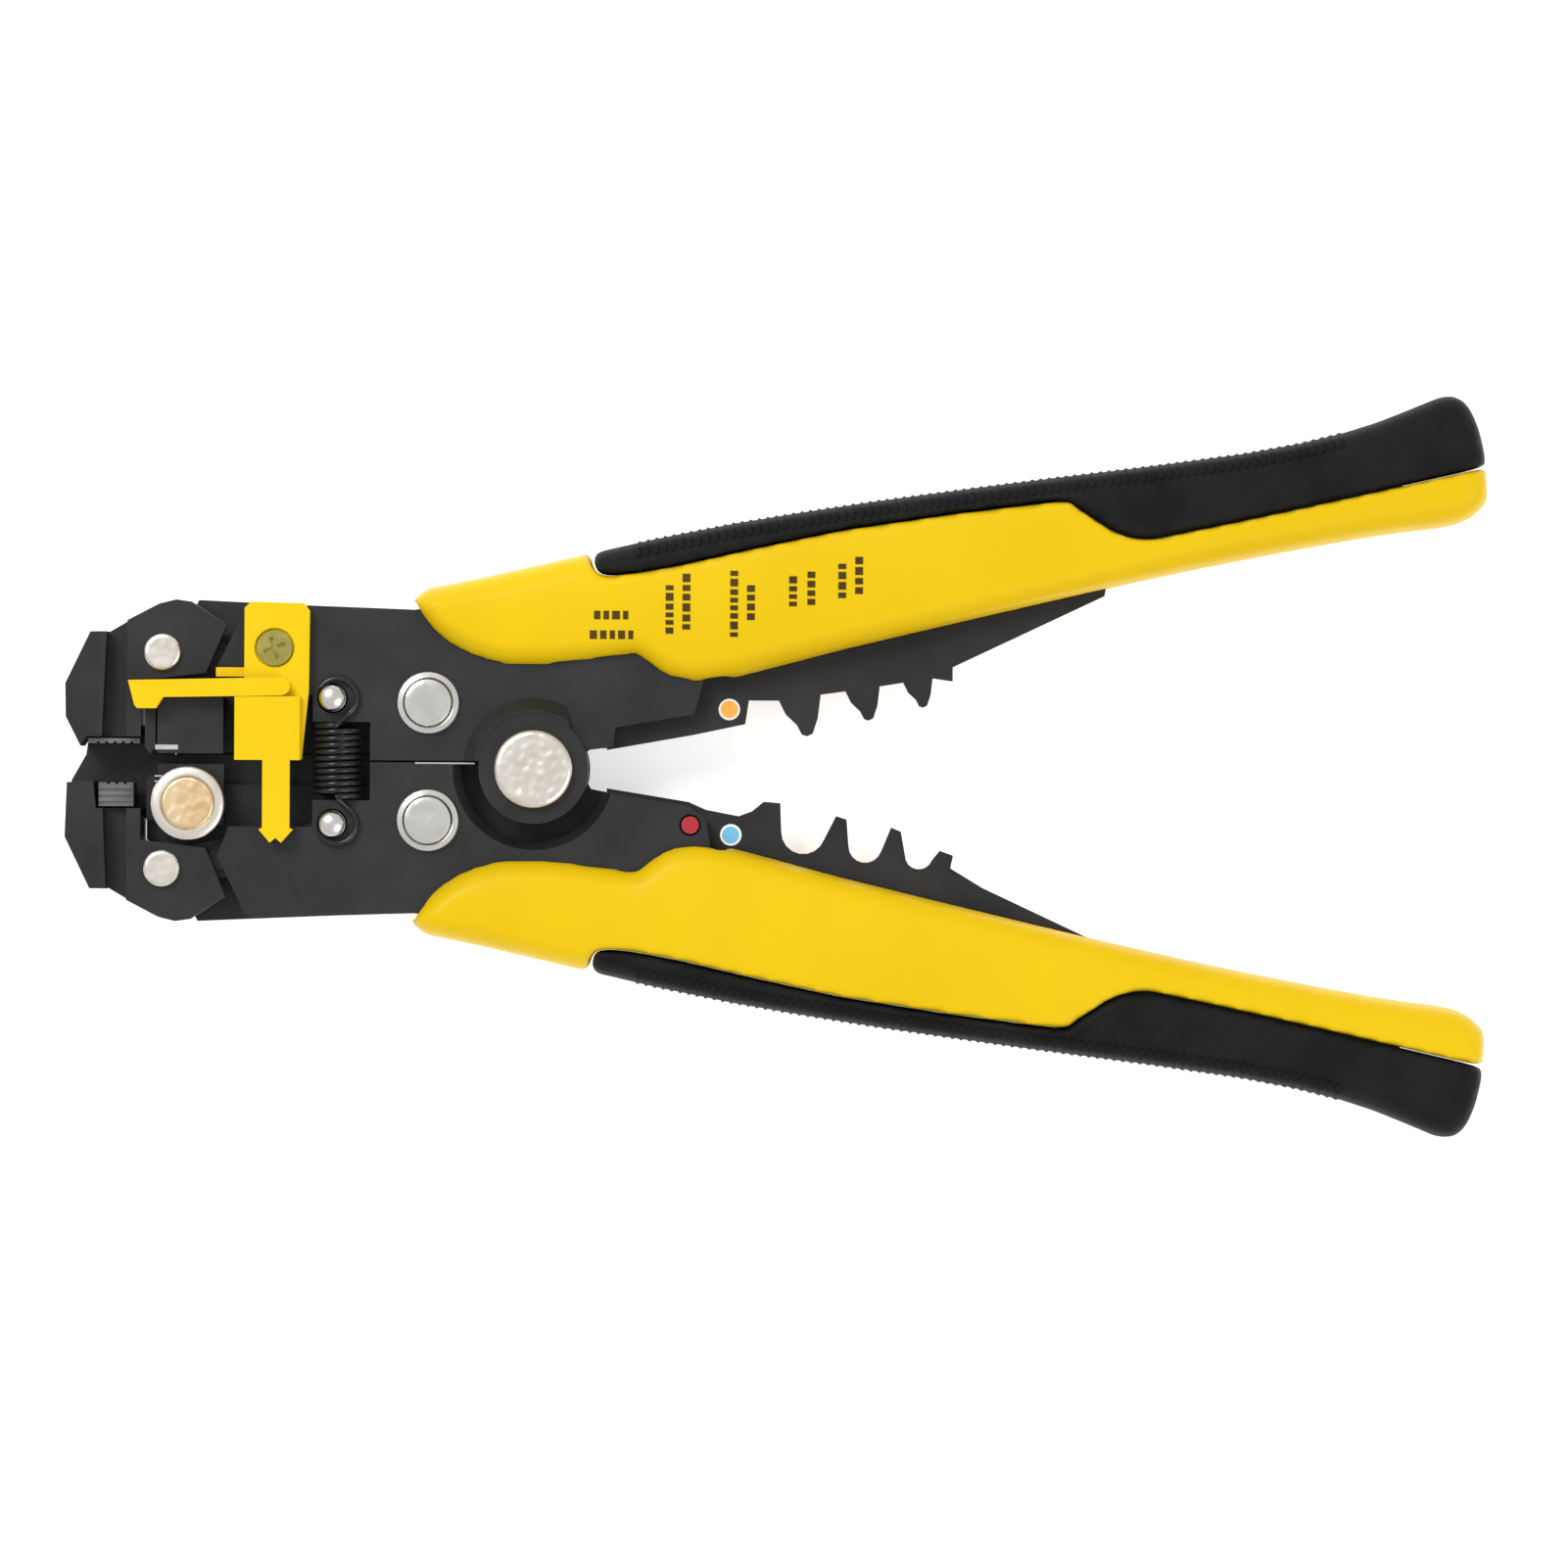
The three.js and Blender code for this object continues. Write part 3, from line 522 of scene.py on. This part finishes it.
def nose_rivet(name):
    node = f"{name}_nose_rivet"
    profile = raised(foot(node), [(0, 0), (1, 0)])
    profile += raised(PLATE_TOP, [(1, 0.12), (2.55, 0.12)])
    profile += raised(top(node), [(2.58, -0.3), (2.4, -0.06)])
    profile += flat_rings(2.15 * MM, top(node), 8)
    rivet = lathe(f"{node}_turned", centre(node), profile, "nickel_rivet", f"{name}_nose", 64, 0.06 * MM)
    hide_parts(node)


def spring_pin(name):
    node = f"{name}_spring_pin"
    profile = raised(foot(node), [(0, 0), (1.9, 0)])
    profile += raised(PLATE_TOP, [(1.9, 0.3), (1.35, 0.45), (1.35, 1.35), (1.8, 1.5)])
    profile += dome(1.9 * MM, PLATE_TOP + 1.65 * MM, top(node), 10)
    pin = lathe(f"{node}_turned", centre(node), profile, "bright_rivet", f"{name}_frame", 48)
    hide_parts(node)


def knob():
    at = centre("tension_knob")
    peak = top("tension_knob")
    rim, bore = 5.3, 3.85
    profile = raised(foot("tension_knob"), [(0, 0), (1.9, 0)])
    profile += raised(peak, [
        (1.9, -1.7), (rim - 0.25, -1.7), (rim, -1.45), (rim, -0.45), (rim - 0.12, -0.18), (rim - 0.4, 0),
        (bore + 0.15, 0), (bore, -0.15), (bore, -0.8), (0, -0.8),
    ])
    ring = lathe("tension_knob_turned", at, profile, "nickel_rivet", "knob", 96)
    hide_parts("tension_knob")
    insert = raised(peak, [(0, -0.7), (3.7, -0.7), (3.75, -0.32), (3.6, -0.16)])
    insert += flat_rings(3.4 * MM, peak - 0.12 * MM, 14)
    disc = lathe("knob_insert_turned", at, insert, "brass", "knob", 80, relief=0.12 * MM)
    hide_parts("knob_insert")


# ---- Ground edges: bright strips of bare steel that show at the blades and along the split -----------

def strip(corner, length, width, height):
    """Points and faces of a thin steel strip with its top edges ground away, lying along X."""
    inset = 0.06 * MM
    points = []
    for z, grow in ((0, 0), (height - inset, 0), (height, -inset)):
        low = corner + Vector((-grow, -grow, z))
        high = corner + Vector((length + grow, width + grow, z))
        points += [low, Vector((high.x, low.y, low.z)), high, Vector((low.x, high.y, low.z))]
    faces = [(3, 2, 1, 0), (8, 9, 10, 11)]
    for ring in (0, 4):
        faces += [(ring + i, ring + (i + 1) % 4, ring + 4 + (i + 1) % 4, ring + 4 + i) for i in range(4)]
    return points, faces


def ground_edges():
    lo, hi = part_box("upper_carrier_cover")
    edge = strip(Vector((lo.x - 0.3 * MM, lo.y + 0.5 * MM, hi.z - 0.3 * MM)), 3.3 * MM, 0.75 * MM, 0.42 * MM)
    add_mesh("upper_blade_edge", *edge, "blade_steel", "upper_arm", 30)

    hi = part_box("lower_blade")[1]
    leaf_foot = top("lower_carrier_cover") - 0.2 * MM
    leaves = []
    for i in range(4):
        corner = Vector((hi.x - 0.2 * MM, hi.y - (0.5 + 0.75 * i) * MM, leaf_foot))
        leaves.append(strip(corner, 1.3 * MM, 0.28 * MM, 0.35 * MM))
    add_mesh("lower_blade_leaves", *merge_shapes(leaves), "blade_steel", "lower_arm", 30)

    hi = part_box("lower_front_plate")[1]
    hub_left = PIVOT.x - 8.4 * MM
    length = 8.6 * MM
    corner = Vector((hub_left - length, hi.y - 0.22 * MM, hi.z - 0.3 * MM))
    add_mesh("split_edge", *strip(corner, length, 0.28 * MM, 0.34 * MM), "blade_steel", "lower_frame", 30)


SHADE_STRIP_THICKNESS = 0.5 * MM


def seam_shade_strips():
    """Dark strips under the head that paint the shade in the seams between its plates, so that no light
    shows through them.
    """
    seam_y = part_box("upper_carrier_cover")[0].y
    head_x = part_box("lower_back_plate")[0].x
    z = foot("lower_arm_rivet") + 0.8 * MM
    along = strip(Vector((head_x + 3.4 * MM, seam_y - 0.7 * MM, z)), 39 * MM, 1.4 * MM, SHADE_STRIP_THICKNESS)
    behind = strip(Vector((head_x - 0.8 * MM, SPLIT_Y - 11.5 * MM, z)), 1.1 * MM, 3 * MM, SHADE_STRIP_THICKNESS)
    add_mesh("seam_shade_strips", *merge_shapes([along, behind]), "tool_steel", "lower_frame", 30)


# ---- Return spring -------------------------------------------------------------------------------

SPRING_TURNS = 11
SPRING_WIRE_R = 0.42 * MM
SPRING_COIL_R = 3.25 * MM
SPRING_COIL_HALF = 5.1 * MM
SPRING_HOOK_R = 2.8 * MM
SPRING_HOOK_LIFT = 0.9 * MM
STEPS_PER_TURN = 20


def return_spring():
    """A close coil with a hook round each pin."""
    lo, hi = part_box("return_spring")
    axis_x = (lo.x + hi.x) / 2
    axis_z = hi.z - SPRING_COIL_R - SPRING_WIRE_R
    hook_z = PLATE_TOP + SPRING_HOOK_LIFT
    steps = SPRING_TURNS * STEPS_PER_TURN
    coil = []
    for i in range(steps + 1):
        a = 2 * math.pi * i / STEPS_PER_TURN
        y = SPLIT_Y - SPRING_COIL_HALF + 2 * SPRING_COIL_HALF * i / steps
        coil.append(Vector((axis_x + SPRING_COIL_R * math.sin(a), y, axis_z + SPRING_COIL_R * math.cos(a))))

    def hook(name, side):
        pin_y = centre(f"{name}_spring_pin").y
        points = []
        for degrees in range(-56, 150, 12):
            a = math.radians(degrees) * side
            x, y = axis_x + SPRING_HOOK_R * math.cos(a), pin_y + SPRING_HOOK_R * math.sin(a)
            points.append(Vector((x, y, hook_z)))
        return points

    low_hook = list(reversed(hook("lower", -1)))
    high_hook = hook("upper", 1)
    path = low_hook + lead(low_hook[-1], coil[0]) + coil + lead(coil[-1], high_hook[0]) + high_hook
    points, faces = tube(path, SPRING_WIRE_R, 10)
    spring = add_mesh("return_spring_coil", points, faces, "spring_steel", None, 60)
    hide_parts("return_spring")
    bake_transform(spring)


def lead(a, b, steps=4):
    """Points between two ends of wire, for the bend from a hook into the coil."""
    return [a.lerp(b, i / (steps + 1)) for i in range(1, steps + 1)]


# ---- Stage ---------------------------------------------------------------------------------------

VIEW_WIDTH = 224.2 * MM
VIEW_CENTRE = Vector((35.8 * MM, -1.95 * MM, 14 * MM))
VIEW_ROLL = math.radians(-0.3)
CAMERA_HEIGHT = 1.3
SENSOR = 36.0


def build_camera():
    data = bpy.data.cameras.new("camera")
    data.sensor_width = SENSOR
    data.lens = SENSOR * CAMERA_HEIGHT / VIEW_WIDTH
    data.clip_start = 0.01
    camera = bpy.data.objects.new("camera", data)
    camera.location = VIEW_CENTRE + Vector((0, 0, CAMERA_HEIGHT))
    camera.rotation_euler = (0, 0, -VIEW_ROLL)
    bpy.context.scene.collection.objects.link(camera)
    bpy.context.scene.camera = camera


def soft_light(name, location, size, power):
    data = bpy.data.lights.new(name, "AREA")
    data.shape = "DISK"
    data.size = size
    data.energy = power
    light = bpy.data.objects.new(name, data)
    light.location = location
    aim = Vector((0.03, 0, 0)) - Vector(location)
    light.rotation_euler = aim.to_track_quat("-Z", "Y").to_euler()
    bpy.context.scene.collection.objects.link(light)


def build_stage():
    half = 3.0
    corners = [(-half, -half, 0), (half, -half, 0), (half, half, 0), (-half, half, 0)]
    mesh = bpy.data.meshes.new("floor")
    mesh.from_pydata(corners, [], [(0, 1, 2, 3)])
    floor = bpy.data.objects.new("floor", mesh)
    paper = Shader("paper", (0.9, 0.9, 0.9), 0.9, specular=0.1)
    paper.vary_colour(paper.texture(3, 2), (0.93, 0.93, 0.93))
    paper.vary_roughness(paper.texture(20, 2), 0.04)
    paper.surface.inputs["Emission Color"].default_value = (1, 1, 1, 1)
    paper.surface.inputs["Emission Strength"].default_value = 0.55
    mesh.materials.append(paper.material)
    bpy.context.scene.collection.objects.link(floor)
    world = bpy.data.worlds.new("studio")
    world.use_nodes = True
    world.node_tree.nodes["Background"].inputs["Color"].default_value = (1, 1, 1, 1)
    world.node_tree.nodes["Background"].inputs["Strength"].default_value = 0.66
    bpy.context.scene.world = world
    bpy.context.scene.view_settings.view_transform = "Standard"
    soft_light("key", (-0.45, 0.55, 0.9), 0.5, 7)
    soft_light("fill", (0.7, -0.5, 0.8), 0.8, 4.5)


build_camera()
build_stage()
dress_cad_nodes()
build_grips()
printed_bars()
build_rivets()
ground_edges()
seam_shade_strips()
return_spring()
